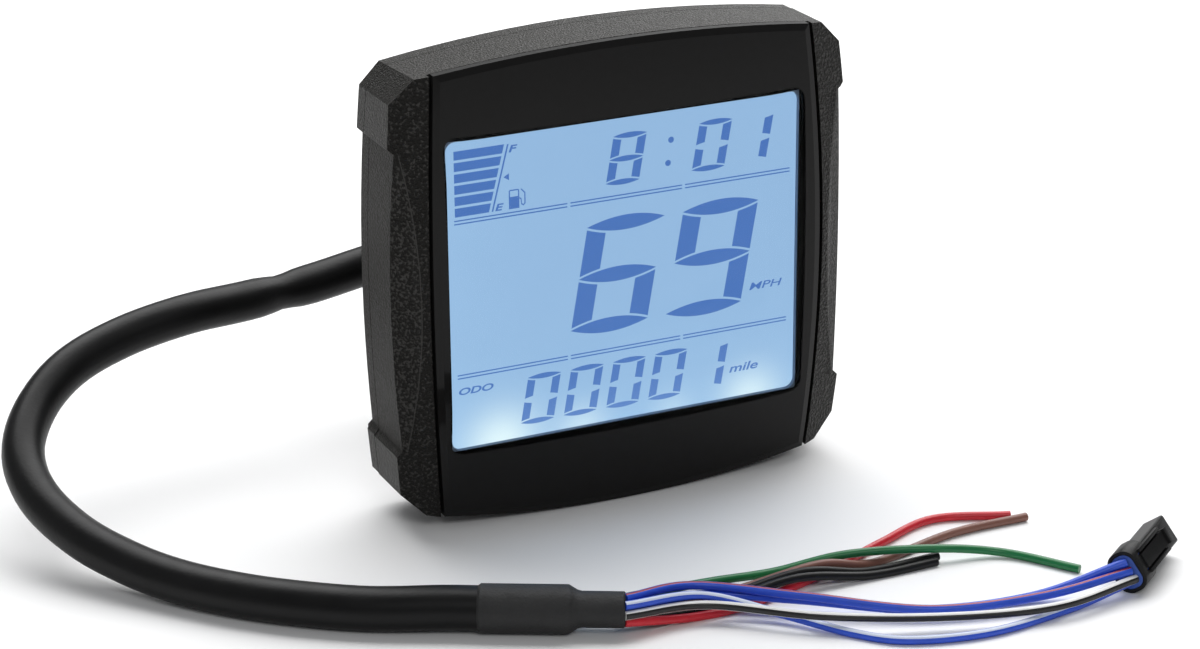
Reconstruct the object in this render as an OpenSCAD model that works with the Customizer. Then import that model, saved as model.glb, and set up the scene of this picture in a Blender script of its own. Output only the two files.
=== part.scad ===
// Motorcycle instrument cluster: square display head, rear cable and loose harness.
// Millimetres. The display looks along -Y, +Z is up, and the origin is the middle
// of the two mounting studs on the flat back of the housing.

/* [Housing] */
// Width across the arcs of the corner caps
case_w = 98.5; // [94:0.5:104]
// Height from the bottom crown to the top crown
case_h = 94.5; // [92:0.5:98]
// Radius of the crowned top and bottom edges
crown_r = 285; // [240:5:340]
// Radius of the slightly bowed sides
side_r = 400; // [320:10:480]
// Depth of the side recess below the corner caps
recess_d = 1.2; // [0.8:0.1:1.8]
// Half height of the side recess
recess_half = 29.8; // [24:0.2:32]
// Wall thickness of the two housing shells
wall = 2; // [1.8:0.1:2.4]

/* [Lens] */
// Radius of the spherical lens dome
dome_r = 400; // [360:10:480]
// Height of the dome above the window plane
dome_rise = 4.5; // [4.2:0.1:5]
// Half width of the lens at mid-height
lens_half_w = 41.15; // [40.8:0.05:41.2]
// Thickness of the lens in front of the display
lens_wall = 1.1; // [0.9:0.1:1.2]

/* [Display] */
// Width of the display window
window_w = 74.5; // [70:0.5:75]
// Height of the display window
window_h = 62.2; // [56:0.2:63]

/* [Mounting] */
// Thread diameter of the mounting studs
stud_d = 5; // [4:1:6]
// Distance between the two studs
stud_pitch = 50; // [40:1:54]
// Length of each stud outside the housing
stud_len = 12; // [8:1:20]

/* [Buttons] */
// Diameter of the button caps on the back
button_d = 7; // [6:0.5:8]
// Distance between the two buttons
button_pitch = 28; // [22:1:34]
// Height a button cap stands out of the back
button_proud = 1.4; // [1:0.1:2]

/* [Cable] */
// Outer diameter of the cable sleeve
sleeve_d = 8.3; // [7:0.1:9]
// Outer diameter of one loose wire
wire_d = 1.65; // [1.4:0.05:1.8]

/* [Hidden] */

arc_fn = 360;    // facets of a full large arc
round_fn = 48;   // facets of small round features
eps = 0.01;

// Depth stations, measured from the back face of the housing at y = 0
window_y = -24;
parting_y = -10;
rim_y = -5.4;
back_wall_y = -wall;
board_y = -15;
board_t = 1.6;

// Side wings beside the lens: a cylinder of this radius, tipped back to the edge
wing_r = 350;
wing_tilt = 21.8;
wing_edge_x = 41.9;
wing_edge_y = window_y - 1.87;
groove_w = 0.25;
lens_edge_r = 512;
bevel_drop = 0.18;
lens_rim_t = 2;
lens_rim_w = 2.6;
brow_r = 305;
brow_tilt = 21.8;
brow_z = 45.7;
apex_y = window_y - dome_rise;
corner_sum = 86.5;      // |x| + |z| on the corner chamfers
draft_drop = 0.8;       // how far the crowns fall from front to rim
chamfer_rim = 0.8;

hump_w = 70;
hump_h = 66;
hump_corner = 9;
hump_draft = 1.5;

screw_x = 40.2;
screw_z = 37.8;
button_z = -24;
button_gap = 0.08;
cable_z = -8;
stud_shoulder_d = 5.6;   // pressed into the back wall

glass_w = 76;
glass_h = 64;
glass_ledge_h = 68;
lcd_y = window_y + 1.35;   // front of the display stack
frame_sum = 73;          // |x| + |z| on the clipped corners of the holder

// Heat-shrink end and plug pose
shrink_at = [-50.5, -66.2, -42.7];
shrink_turn = -27.76;
shrink_len = 26.7;
plug_at = [63.5, -104.5, -43.2];
plug_turn = 37.6;
plug_roll = 53;
plug_pitch = 1.8;

// Routes of the cords, by hand in round numbers
sleeve_route = [
    [0, 10, -8], [0, 19, -8], [-4.5, 28.5, -9], [-14, 36, -11.5],
    [-28, 39, -14.5], [-43, 37.8, -16.4], [-58, 34, -16.2], [-72, 31, -15.8],
    [-86, 29, -17.6], [-98, 25.5, -20.8], [-107, 19, -25.5], [-112.3, 10, -30.4],
    [-112.6, -0.5, -35], [-108.5, -12, -39], [-102.5, -22, -41.5], [-96, -31, -42.8],
    [-88, -40.5, -43.1], [-79, -49, -43.1], [-68, -57, -43.1], [-56.2, -63.2, -42.7],
    [-50.5, -66.2, -42.7]];
red_route = [
    [-27.8, -80.2, -44.4], [-14, -80, -46.4], [-4, -80.1, -46.4], [8, -77, -46.4],
    [19, -73.2, -46.4], [33, -67.2, -46.4], [47, -62.4, -46.4], [61.5, -67.4, -46.4]];
brown_route = [
    [-25.9, -76.6, -42.7], [-17, -72.6, -45.6], [-4, -73.6, -46.4], [15, -74.2, -44.4],
    [27, -74.4, -46.4], [47, -69.6, -46.4], [63.9, -69.4, -46.4]];
green_route = [
    [-26.2, -77.2, -41], [-17, -73, -43.4], [-5, -71.6, -44.6], [8, -70.4, -46],
    [22, -72.6, -44.4], [38, -77.6, -44.4], [51, -81.6, -46.2], [60.3, -93.8, -46.4]];
black_a_route = [
    [-26.2, -77.2, -44.4], [-10, -76, -46.4], [10, -75.8, -44.3], [24, -77.2, -46.4],
    [39.4, -77.2, -46.4]];
black_b_route = [
    [-27, -78.7, -45.1], [-10, -77.9, -46.4], [8, -77.7, -44.3], [24, -79, -46.4],
    [38, -79.2, -46.4]];
blue_route = [
    [-27, -78.7, -42.7], [-11, -76.6, -44], [5, -84.4, -45], [25, -95.6, -46.4],
    [46, -100.4, -46], [63.3, -104.2, -41.2]];
blue_red_route = [
    [-27, -78.7, -40.3], [-12, -75.8, -42.2], [5, -86.2, -43.4], [25, -98.6, -45],
    [46, -103.6, -44.6], [63.9, -105.1, -42.7]];
blue_white_route = [
    [-27.8, -80.2, -41], [-12.5, -79.7, -42.4], [-1, -86.4, -45.2], [8.7, -98, -46.4],
    [17, -105.4, -46.4], [32, -109, -46.4], [50, -107, -46.4], [63.7, -104.8, -45.2]];
white_black_route = [
    [-28.1, -80.8, -42.7], [-12, -81.4, -43.7], [5, -94.4, -43.9], [26, -103.2, -44.7],
    [46, -108.4, -44.6], [64.6, -105.9, -44.1]];

// ---- shared shapes -------------------------------------------------------------

// Front view outline of the housing, drawn in (x, z) and set in by inset
module case_outline(inset = 0, recessed = true) {
    difference() {
        intersection() {
            intersection_for(s = [-1, 1])
                translate([s * (case_w / 2 - side_r), 0])
                    circle(r = side_r - inset, $fn = arc_fn);
            intersection_for(s = [-1, 1])
                translate([0, s * (case_h / 2 - crown_r)])
                    circle(r = crown_r - inset, $fn = arc_fn);
            rotate(45)
                square((corner_sum - 1.4 * inset) * sqrt(2), center = true);
        }
        if (recessed)
            for (s = [-1, 1])
                scale([s, 1]) side_recess(inset);
    }
}

// The shallow pocket in the side between two corner caps, with 45 degree ends
module side_recess(inset = 0) {
    difference() {
        polygon([[46, -recess_half + 0.95], [54, -recess_half - 7.05],
            [54, recess_half + 7.05], [46, recess_half - 0.95]]);
        translate([case_w / 2 - recess_d - side_r, 0])
            circle(r = side_r - inset, $fn = arc_fn);
    }
}

// Extrudes a front view outline from depth y0 back to depth y1
module depth(y0, y1) {
    translate([0, y1, 0])
        rotate([90, 0, 0])
            linear_extrude(y1 - y0) children();
}

// Everything between the crowned top and bottom, which draw in towards the back
module crowned(inset = 0) {
    intersection_for(s = [-1, 1])
        translate([0, 0, s * (case_h / 2 - crown_r)])
            rotate([-90, 0, 0])
                translate([0, 0, -32])
                    cylinder(h = 32, r1 = crown_r + 0.1 - inset,
                        r2 = crown_r - draft_drop - inset, $fn = arc_fn);
}

// Lens outline between two bowed side edges, set in by inset
module lens_outline(half_w, inset = 0) {
    intersection() {
        intersection_for(s = [-1, 1])
            translate([s * (half_w - lens_edge_r), 0])
                circle(r = lens_edge_r - inset, $fn = arc_fn * 2);
        intersection_for(s = [-1, 1])
            translate([0, s * (case_h / 2 - crown_r)])
                circle(r = crown_r - 0.2 - inset, $fn = arc_fn);
    }
}

// Ball whose front touches the lens dome shifted back by drop
module dome(drop = 0, facets = arc_fn) {
    translate([0, apex_y + dome_r, 0]) sphere(r = dome_r - drop, $fn = facets);
}

// Solid behind the two tipped wing surfaces
module wings(drop = 0) {
    intersection_for(s = [0, 1])
        mirror([s, 0, 0])
            translate([wing_edge_x, wing_edge_y + drop, 0])
                rotate([0, 0, wing_tilt])
                    translate([0, wing_r, 0])
                        rotate([0, 90, 0])
                            cylinder(h = 260, r = wing_r, center = true, $fn = arc_fn);
}

// Solid behind the bevels along the top and bottom of the lens
module brows() {
    intersection_for(s = [0, 1])
        mirror([0, 0, s])
            translate([0, apex_y + 2.6, brow_z])
                rotate([-brow_tilt, 0, 0])
                    translate([0, brow_r, 0])
                        cylinder(h = 260, r = brow_r, center = true, $fn = arc_fn);
}

// Flat tipped cutter of the crescent scoop, with 45 degree ledges at its ends
module scoop() {
    scoop_tilt = 41.5;
    reach = 20;
    rise = 8;
    translate([case_w / 2 - recess_d, window_y + 2.8, 0])
        rotate([0, 0, scoop_tilt])
            rotate([0, 90, 0])
                translate([0, 0, -reach / 2])
                    linear_extrude(reach)
                        polygon([[-recess_half, 0], [recess_half, 0],
                            [recess_half + rise, -rise], [-recess_half - rise, -rise]]);
}

// Box given by its x and z sizes and its two depths
module slab(w, h, y0, y1, x = 0, z = 0) {
    translate([x - w / 2, y0, z - h / 2]) cube([w, y1 - y0, h]);
}

// Round bar along the depth
module bar(d, y0, y1, x = 0, z = 0, facets = round_fn) {
    translate([x, y0, z])
        rotate([-90, 0, 0])
            cylinder(h = y1 - y0, d = d, $fn = facets);
}

module rounded(w, h, r) {
    for (x = [-1, 1], z = [-1, 1])
        translate([x * (w / 2 - r), z * (h / 2 - r)]) circle(r = r, $fn = round_fn);
    square([w - 2 * r, h], center = true);
    square([w, h - 2 * r], center = true);
}

module at_corners() {
    for (x = [-screw_x, screw_x], z = [-screw_z, screw_z])
        translate([x, 0, z]) children();
}

// ---- housing -------------------------------------------------------------------

module front_case() {
    cavity_y = window_y + 3.4;
    pocket_y = lcd_y - 0.05;
    color([0.1, 0.1, 0.1])
    difference() {
        union() {
            difference() {
                intersection() {
                    depth(apex_y, parting_y) case_outline();
                    crowned();
                    wings();
                }
                lens_channel();
                for (s = [0, 1]) mirror([s, 0, 0]) scoop();
                depth(cavity_y, parting_y + 1) case_outline(5.2, false);
            }
            at_corners() bar(6.4, cavity_y - eps, parting_y - 0.3);
        }
        slab(79.6, 73.4, pocket_y, cavity_y + eps);
        depth(apex_y, pocket_y + eps) rounded(window_w, window_h, 2);
        depth(apex_y, window_y) rounded(window_w + 3, window_h + 3, 3);
        gasket_ring(parting_y - 0.9, parting_y + 1);
        at_corners() bar(2.5, cavity_y + 2, parting_y + 1);
    }
}

// Channel for the lens: its floor is the dome seat, and a thin rib stands in each gap
module lens_channel() {
    difference() {
        depth(apex_y - 2, window_y + 8) lens_outline(wing_edge_x, -4);
        dome(lens_rim_t + 0.1);
        intersection() {
            depth(apex_y, window_y + 8)
                difference() {
                    lens_outline(wing_edge_x - groove_w, -4);
                    lens_outline(wing_edge_x - 2 * groove_w, -4);
                }
            wings(0.12);
        }
        // keep the wings outside the bowed channel edges
        for (s = [0, 1])
            mirror([s, 0, 0])
                depth(apex_y - 3, window_y + 9)
                    difference() {
                        translate([wing_edge_x - 6, -60]) square([20, 120]);
                        translate([wing_edge_x - lens_edge_r, 0])
                            circle(r = lens_edge_r, $fn = arc_fn * 2);
                    }
    }
}

module gasket_ring(y0, y1, slack = 0) {
    depth(y0, y1)
        difference() {
            case_outline(1.7 + slack);
            case_outline(3.1 - slack, false);
        }
}

module rear_case() {
    color([0.1, 0.1, 0.1])
    difference() {
        union() {
            intersection() {
                depth(parting_y, rim_y - chamfer_rim) case_outline(0.15);
                crowned(0.1);
            }
            intersection() {
                depth(rim_y - chamfer_rim, rim_y) case_outline(0.6);
                crowned(0.5);
            }
            hull() {
                depth(rim_y - eps, rim_y + 1) rounded(hump_w, hump_h, hump_corner);
                depth(-0.5, 0)
                    rounded(hump_w - 2 * hump_draft, hump_h - 2 * hump_draft, hump_corner);
            }
        }
        difference() {
            depth(parting_y - 1, rim_y - wall) case_outline(5.2, false);
            at_corners() bar(7.4, parting_y, rim_y);
        }
        depth(parting_y, back_wall_y) rounded(hump_w - 2 * wall, hump_h - 2 * wall, 7);
        // label pocket and the two moulded drain slots
        depth(-0.3, 1) translate([0, 17]) rounded(40, 16, 1.5);
        for (x = [-12, 12]) slab(6, 1.2, -4, 1, x, -30);
        bar(10.1, -4, 1, 0, cable_z);
        for (x = [-1, 1]) {
            bar(button_d + 2 * button_gap, -4, 1, x * button_pitch / 2, button_z);
            bar(stud_shoulder_d + 0.04, -6, 1, x * stud_pitch / 2, 0);
        }
        at_corners() {
            bar(3.2, parting_y - 1, 1);
            bar(6, rim_y - 2.2, 1);
        }
    }
    color([0.1, 0.1, 0.1]) rear_ribs();
}

// Collars round the buttons and studs, and the ribs that stiffen the back wall
module rear_ribs() {
    collar = 2.4;
    difference() {
        union() {
            for (x = [-1, 1]) {
                bar(button_d + 3.4, back_wall_y - 3.4, back_wall_y + eps,
                    x * button_pitch / 2, button_z);
                slab(1.4, 20, back_wall_y - collar, back_wall_y + eps,
                    x * stud_pitch / 2, 17);
            }
            slab(50, 1.4, back_wall_y - collar, back_wall_y + eps, 0, 8);
        }
        for (x = [-1, 1])
            bar(button_d + 2 * button_gap, back_wall_y - 4, back_wall_y + 1,
                x * button_pitch / 2, button_z);
    }
}

module case_gasket() {
    color([0.2, 0.2, 0.2]) gasket_ring(parting_y - 0.85, parting_y - 0.02, 0.05);
}

// Pan head self-tapping screws with a cross recess
module case_screws() {
    head_y = rim_y - 2.2;
    color([0.6, 0.6, 0.62])
    at_corners()
        difference() {
            union() {
                bar(2.46, head_y - 10.2, head_y);
                bar(5.2, head_y + 0.02, head_y + 1.9);
                bar(2.46, head_y - eps, head_y + 0.1);
            }
            slab(2.8, 0.6, head_y + 0.9, head_y + 2);
            slab(0.6, 2.8, head_y + 0.9, head_y + 2);
        }
}

// Pressed in from inside: head behind the wall, shoulder in its hole, thread outside
module mount_studs() {
    color([0.75, 0.75, 0.78])
    for (x = [-1, 1]) {
        bar(stud_shoulder_d, back_wall_y - 0.05, -0.02, x * stud_pitch / 2, 0, 64);
        bar(stud_d, -0.03, stud_len - 0.6, x * stud_pitch / 2, 0, 64);
        translate([x * stud_pitch / 2, stud_len - 0.6, 0])
            rotate([-90, 0, 0])
                cylinder(h = 0.6, d1 = stud_d, d2 = stud_d - 1.2, $fn = 64);
        bar(9, back_wall_y - 2, back_wall_y - 0.04, x * stud_pitch / 2, 0, 6);
    }
}

// ---- lens and display ----------------------------------------------------------

// Clear moulding: dome, bevels that run on from the wings and brows, thin middle
module lens() {
    color([0.75, 0.8, 0.85, 0.5])
    difference() {
        intersection() {
            depth(apex_y - 1, window_y + 6) lens_outline(lens_half_w);
            dome();
            wings(bevel_drop);
            brows();
        }
        dome(lens_rim_t);
        intersection() {
            depth(apex_y - 1, window_y + 6) lens_outline(lens_half_w, lens_rim_w);
            dome(lens_wall);
        }
    }
}

module lcd_front_polariser() {
    color([0.6, 0.7, 0.8, 0.5]) slab(glass_w, glass_h, lcd_y, lcd_y + 0.2);
}

module lcd_front_glass() {
    color([0.7, 0.8, 0.85, 0.5])
        slab(glass_w, glass_ledge_h, lcd_y + 0.22, lcd_y + 1.32);
}

module lcd_rear_glass() {
    color([0.7, 0.8, 0.85, 0.5]) slab(glass_w, glass_h, lcd_y + 1.35, lcd_y + 2.45);
}

module lcd_rear_polariser() {
    color([0.6, 0.7, 0.8, 0.5]) slab(glass_w, glass_h, lcd_y + 2.47, lcd_y + 2.67);
}

module diffuser_sheet() {
    color([0.9, 0.93, 0.97]) slab(glass_w, glass_h, lcd_y + 2.7, lcd_y + 3);
}

// Wedge plate: thick beside the lamps, thin at the far edge
module light_guide() {
    color([0.58, 0.72, 0.86])
    translate([-glass_w / 2, 0, 0])
        rotate([90, 0, 90])
            linear_extrude(glass_w)
                polygon([[lcd_y + 3.05, -30.4], [lcd_y + 3.05, 32],
                    [lcd_y + 4.8, 32], [lcd_y + 5.6, -26], [lcd_y + 5.6, -30.4]]);
}

module reflector_sheet() {
    color([0.95, 0.95, 0.95]) slab(glass_w, glass_h, lcd_y + 5.65, lcd_y + 5.85);
}

module backlight_leds() {
    color([0.95, 0.95, 0.8])
    for (i = [-1.5, -0.5, 0.5, 1.5]) {
        slab(3.5, 1.3, lcd_y + 3.2, lcd_y + 5.3, i * 19.5, -31.2);
        slab(2.7, 0.15, lcd_y + 3.5, lcd_y + 5, i * 19.5, -30.48);
    }
}

// White holder that carries the glass, the lamps and the contact strips
module lcd_frame() {
    color([0.92, 0.92, 0.9])
    difference() {
        depth(lcd_y, board_y - 0.05)
            intersection() {
                square([79.2, 73], center = true);
                rotate(45) square(frame_sum * sqrt(2), center = true);
            }
        slab(glass_w + 0.3, glass_ledge_h + 0.3, lcd_y - 1, lcd_y + 2.6);
        slab(glass_w + 0.3, glass_h + 0.3, lcd_y - 1, lcd_y + 6);
        for (z = [-1, 1]) slab(66.4, 2.2, lcd_y, board_y + 1, 0, z * 33);
        for (x = [-1, 1], z = [-1, 1])
            slab(26, 22, lcd_y + 5, board_y + 1, x * 18, z * 15);
    }
    // pins that pass through the board and are spread with heat
    color([0.92, 0.92, 0.9])
    for (x = [-38, 38]) {
        bar(3.1, board_y - 0.5, board_y + board_t + 0.3, x, 0);
        bar(4.6, board_y + board_t + 0.02, board_y + board_t + 0.9, x, 0);
    }
}

// Zebra strips between the glass ledge and the board
module contact_strips() {
    color([0.85, 0.6, 0.7])
    for (z = [-1, 1]) slab(66, 1.9, lcd_y + 1.34, board_y - 0.02, 0, z * 33);
}

// ---- electronics ---------------------------------------------------------------

module circuit_board() {
    color([0.1, 0.35, 0.2])
    difference() {
        depth(board_y, board_y + board_t)
            intersection() {
                square([84, 80], center = true);
                rotate(45) square(71 * sqrt(2), center = true);
            }
        for (x = [-38, 38]) bar(3.2, board_y - 1, board_y + 3, x, 0);
        for (i = [-4:4]) bar(0.9, board_y - 1, board_y + 3, i * 2.2, cable_z + 8, 16);
    }
}

// Square flat pack with a row of gull-wing legs on each side
module microcontroller() {
    y0 = board_y + board_t;
    size = 12;
    legs = 12;
    leg_pitch = 0.8;
    color([0.12, 0.12, 0.13])
    translate([-20, 0, 19]) {
        slab(size, size, y0 + 0.15, y0 + 1.5);
        for (a = [0:90:270], i = [0:legs - 1])
            rotate([0, a, 0])
                translate([size / 2, 0, (i - (legs - 1) / 2) * leg_pitch]) {
                    slab(1.2, 0.35, y0 + 0.02, y0 + 0.2, 0.9);
                    slab(0.5, 0.35, y0 + 0.02, y0 + 0.8, 0.1);
                }
    }
}

module voltage_regulator() {
    y0 = board_y + board_t;
    color([0.12, 0.12, 0.13])
    translate([20, 0, 20]) {
        slab(6.5, 6, y0 + 0.3, y0 + 2.5);
        slab(5.4, 2.4, y0 + 0.02, y0 + 0.5, 0, 4);
        for (x = [-2.3, 0, 2.3]) slab(0.8, 3, y0 + 0.02, y0 + 0.5, x, -4);
    }
}

module quartz_crystal() {
    y0 = board_y + board_t;
    color([0.8, 0.8, 0.82])
    depth(y0 + 0.02, y0 + 3.5)
        translate([-2, 20])
            for (x = [-3.3, 3.3]) {
                translate([x, 0]) circle(d = 4.4, $fn = round_fn);
                square([6.6, 4.4], center = true);
            }
}

module capacitors() {
    y0 = board_y + board_t;
    color([0.15, 0.2, 0.5])
    for (p = [[28, -8, 6.3], [31, -17, 5], [-30, -12, 6.3]]) {
        bar(p[2], y0 + 0.5, y0 + 5.8, p[0], p[1]);
        slab(p[2] + 0.3, p[2] + 0.3, y0 + 0.02, y0 + 0.8, p[0], p[1]);
    }
}

// Nine-way pin header where the leads from the cable are fixed
module wire_header() {
    y0 = board_y + board_t;
    color([0.9, 0.9, 0.88])
    difference() {
        slab(21.6, 4.6, y0 + 0.02, y0 + 5, 0, cable_z + 8);
        for (i = [-4:4]) bar(1.5, y0 + 2, y0 + 6, i * 2.2, cable_z + 8, 16);
    }
    color([0.85, 0.7, 0.3])
    for (i = [-4:4]) bar(0.7, board_y, y0 + 0.5, i * 2.2, cable_z + 8, 16);
}

// Round bar from point a to point b
module strut(a, b, d) {
    v = b - a;
    translate(a)
        rotate([0, acos(v[2] / norm(v)), atan2(v[1], v[0])])
            cylinder(h = norm(v), d = d, $fn = 16);
}

// Insulated leads from the foot of the grommet to the header
module inner_leads() {
    top_y = board_y + board_t + 5;
    foot_y = back_wall_y - 2.7;
    color([0.3, 0.3, 0.35])
    for (i = [-4:4]) {
        bar(1.3, top_y - 2.9, top_y + 0.3, i * 2.2, cable_z + 8, 16);
        strut([i * 2.2, top_y + 0.3, cable_z + 8], [i * 1.1, foot_y, cable_z], 1);
        bar(1, foot_y, back_wall_y - 2.02, i * 1.1, cable_z, 16);
    }
}

// ---- push buttons --------------------------------------------------------------

module switch_bodies() {
    y0 = board_y + board_t;
    color([0.15, 0.15, 0.16])
    for (x = [-1, 1])
        difference() {
            slab(6, 6, y0 + 0.02, y0 + 3.2, x * button_pitch / 2, button_z);
            bar(3.3, y0 + 1.4, y0 + 4, x * button_pitch / 2, button_z);
        }
}

module switch_plunger(side) {
    y0 = board_y + board_t;
    bar(3.2, y0 + 2.5, y0 + 4.2, side * button_pitch / 2, button_z);
}

module select_plunger() {
    color([0.8, 0.75, 0.5]) switch_plunger(-1);
}

module adjust_plunger() {
    color([0.8, 0.75, 0.5]) switch_plunger(1);
}

// Rubber cap with a retaining flange and a stem that reaches the switch
module push_button(side) {
    y0 = board_y + board_t + 4.2;
    x = side * button_pitch / 2;
    dish_r = 14;
    color([0.16, 0.16, 0.16])
    difference() {
        union() {
            bar(button_d, back_wall_y - 1, button_proud - 0.4, x, button_z);
            translate([x, button_proud - 0.4, button_z])
                rotate([-90, 0, 0])
                    cylinder(h = 0.4, d1 = button_d, d2 = button_d - 0.8, $fn = round_fn);
            bar(4, y0, back_wall_y - 0.9, x, button_z);
            bar(button_d + 2.6, back_wall_y - 4.7, back_wall_y - 3.5, x, button_z);
        }
        translate([x, button_proud + dish_r - 0.4, button_z])
            sphere(r = dish_r, $fn = 96);
    }
}

module select_button() {
    push_button(-1);
}

module adjust_button() {
    push_button(1);
}

// ---- cable ---------------------------------------------------------------------

// Moulded strain relief: inner flange, neck in the wall and a ringed taper outside
module cable_grommet() {
    nose = 10;
    color([0.08, 0.08, 0.08])
    translate([0, 0, cable_z])
        rotate([-90, 0, 0])
            rotate_extrude($fn = round_fn)
                polygon([[0, back_wall_y - 2], [6.4, back_wall_y - 2],
                    [6.4, back_wall_y - 0.05], [5, back_wall_y - 0.05], [5, 0.05],
                    [6.6, 0.05], [6.6, 1.4], [6.1, 2.4], [5.5, 2.6], [5.5, 3.4],
                    [5.9, 3.6], [5.7, 4.8], [5.1, 5], [5.1, 5.8], [5.4, 6],
                    [5.2, 7.2], [4.8, 7.4], [4.8, 8.2], [5, 8.4], [4.7, nose], [0, nose]]);
}

function unit(v) = v / norm(v);

// Direction of a route at point i
function heading(p, i) = unit(p[min(i + 1, len(p) - 1)] - p[max(i - 1, 0)]);

// One ring of a swept cord, with a level side vector
function cord_ring(c, h, r, n) =
    let (side = unit(cross(h, [0, 0, 1])), up = cross(side, h))
    [for (k = [0:n - 1]) c + r * (cos(360 * k / n) * side + sin(360 * k / n) * up)];

module cord(p, d, n) {
    rings = [for (i = [0:len(p) - 1]) each cord_ring(p[i], heading(p, i), d / 2, n)];
    last = (len(p) - 1) * n;
    walls = [for (i = [0:len(p) - 2], k = [0:n - 1])
        [i * n + k, i * n + (k + 1) % n, (i + 1) * n + (k + 1) % n, (i + 1) * n + k]];
    caps = [[for (k = [n - 1:-1:0]) k], [for (k = [0:n - 1]) last + k]];
    polyhedron(points = rings, faces = concat(walls, caps), convexity = 6);
}

module cable_sleeve() {
    color([0.05, 0.05, 0.05]) cord(sleeve_route, sleeve_d, 12);
}

// Wide over the sleeve end, then a shoulder and a narrow neck over the wires
module heat_shrink() {
    wide_r = 4.5;
    neck_r = 3.35;
    wide_len = 16.4;
    color([0.12, 0.12, 0.12])
    translate(shrink_at)
        rotate([0, 90, shrink_turn])
            rotate_extrude($fn = round_fn)
                polygon([[0, 0], [wide_r - 0.4, 0], [wide_r, 0.5], [wide_r, wide_len],
                    [neck_r + 0.2, wide_len + 1.6], [neck_r, wide_len + 2.4],
                    [neck_r, shrink_len - 0.3], [neck_r - 0.3, shrink_len],
                    [0, shrink_len]]);
}

module wire_red() {
    color([0.8, 0.12, 0.14]) cord(red_route, wire_d, 8);
}

module wire_brown() {
    color([0.5, 0.35, 0.28]) cord(brown_route, wire_d, 8);
}

module wire_green() {
    color([0.05, 0.45, 0.16]) cord(green_route, wire_d, 8);
}

module wire_black_a() {
    color([0.06, 0.06, 0.06]) cord(black_a_route, wire_d, 8);
}

module wire_black_b() {
    color([0.06, 0.06, 0.06]) cord(black_b_route, wire_d, 8);
}

module wire_blue() {
    color([0.12, 0.25, 0.8]) cord(blue_route, wire_d, 8);
}

module wire_blue_red() {
    color([0.2, 0.25, 0.8]) cord(blue_red_route, wire_d, 8);
}

module wire_blue_white() {
    color([0.25, 0.35, 0.85]) cord(blue_white_route, wire_d, 8);
}

module wire_white_black() {
    color([0.9, 0.9, 0.9]) cord(white_black_route, wire_d, 8);
}

// ---- plug ----------------------------------------------------------------------

// Places the plug: x along it from the wire side, y across, z out of the latch face
module plug_pose() {
    translate(plug_at)
        rotate([0, 0, plug_turn])
            rotate([plug_roll, 0, 0]) children();
}

// Rounded bar along the plug
module plug_bar(w, h, r, x0, x1) {
    translate([x0, 0, 0])
        rotate([90, 0, 90])
            linear_extrude(x1 - x0) rounded(w, h, r);
}

// Two rows of three places for contacts
module plug_places(places) {
    for (p = places)
        translate([0, p[0] * plug_pitch, p[1] * plug_pitch / 2]) children();
}

plug_all = [for (y = [-1, 0, 1], z = [-1, 1]) [y, z]];
plug_wired = [[1, 1], [0, 1], [-1, 1], [-1, -1]];

module plug_housing() {
    flange_len = 5.6;
    plug_len = 19.4;
    color([0.07, 0.07, 0.07])
    plug_pose()
        difference() {
            union() {
                plug_bar(8.2, 6, 2.5, 0, flange_len);
                plug_bar(5.9, 4.8, 0.5, flange_len - eps, plug_len);
                // latch arm between two rails, and the lug that holds the plug in
                translate([2.4, -1.4, 2.3]) cube([12, 2.8, 1]);
                translate([13.9, -1.5, 2.3]) cube([1.3, 3, 1.5]);
                for (y = [-2.5, 1.9]) translate([2.4, y, 2.3]) cube([11, 0.6, 1.1]);
            }
            plug_bar(6.8, 4.6, 1.9, -1, 4);
            for (y = [-1.9, 1.4]) translate([1.8, y, 2.2]) cube([11.6, 0.5, 2]);
            plug_places(plug_all)
                translate([9, -0.6, -0.6]) cube([12, 1.2, 1.2]);
        }
}

// Mat seal with one hole for each wire, pressed into the wire end of the plug
module plug_seal() {
    color([0.1, 0.2, 0.55])
    plug_pose() plug_bar(6.7, 4.5, 1.85, 0, 3.9);
}

module plug_terminals() {
    color([0.8, 0.72, 0.4])
    plug_pose()
        plug_places(plug_wired)
            difference() {
                translate([10, -0.5, -0.5]) cube([8, 1, 1]);
                translate([12, -0.25, -0.25]) cube([7, 0.5, 0.5]);
            }
}

// --------------------------------------------------------------------------------

front_case();
rear_case();
case_gasket();
case_screws();
mount_studs();
lens();
lcd_front_polariser();
lcd_front_glass();
lcd_rear_glass();
lcd_rear_polariser();
diffuser_sheet();
light_guide();
reflector_sheet();
backlight_leds();
lcd_frame();
contact_strips();
circuit_board();
microcontroller();
voltage_regulator();
quartz_crystal();
capacitors();
wire_header();
inner_leads();
switch_bodies();
select_plunger();
adjust_plunger();
select_button();
adjust_button();
cable_grommet();
cable_sleeve();
heat_shrink();
wire_red();
wire_brown();
wire_green();
wire_black_a();
wire_black_b();
wire_blue();
wire_blue_red();
wire_blue_white();
wire_white_black();
plug_housing();
plug_seal();
plug_terminals();
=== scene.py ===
import math

import bpy
from mathutils import Matrix, Vector


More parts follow.
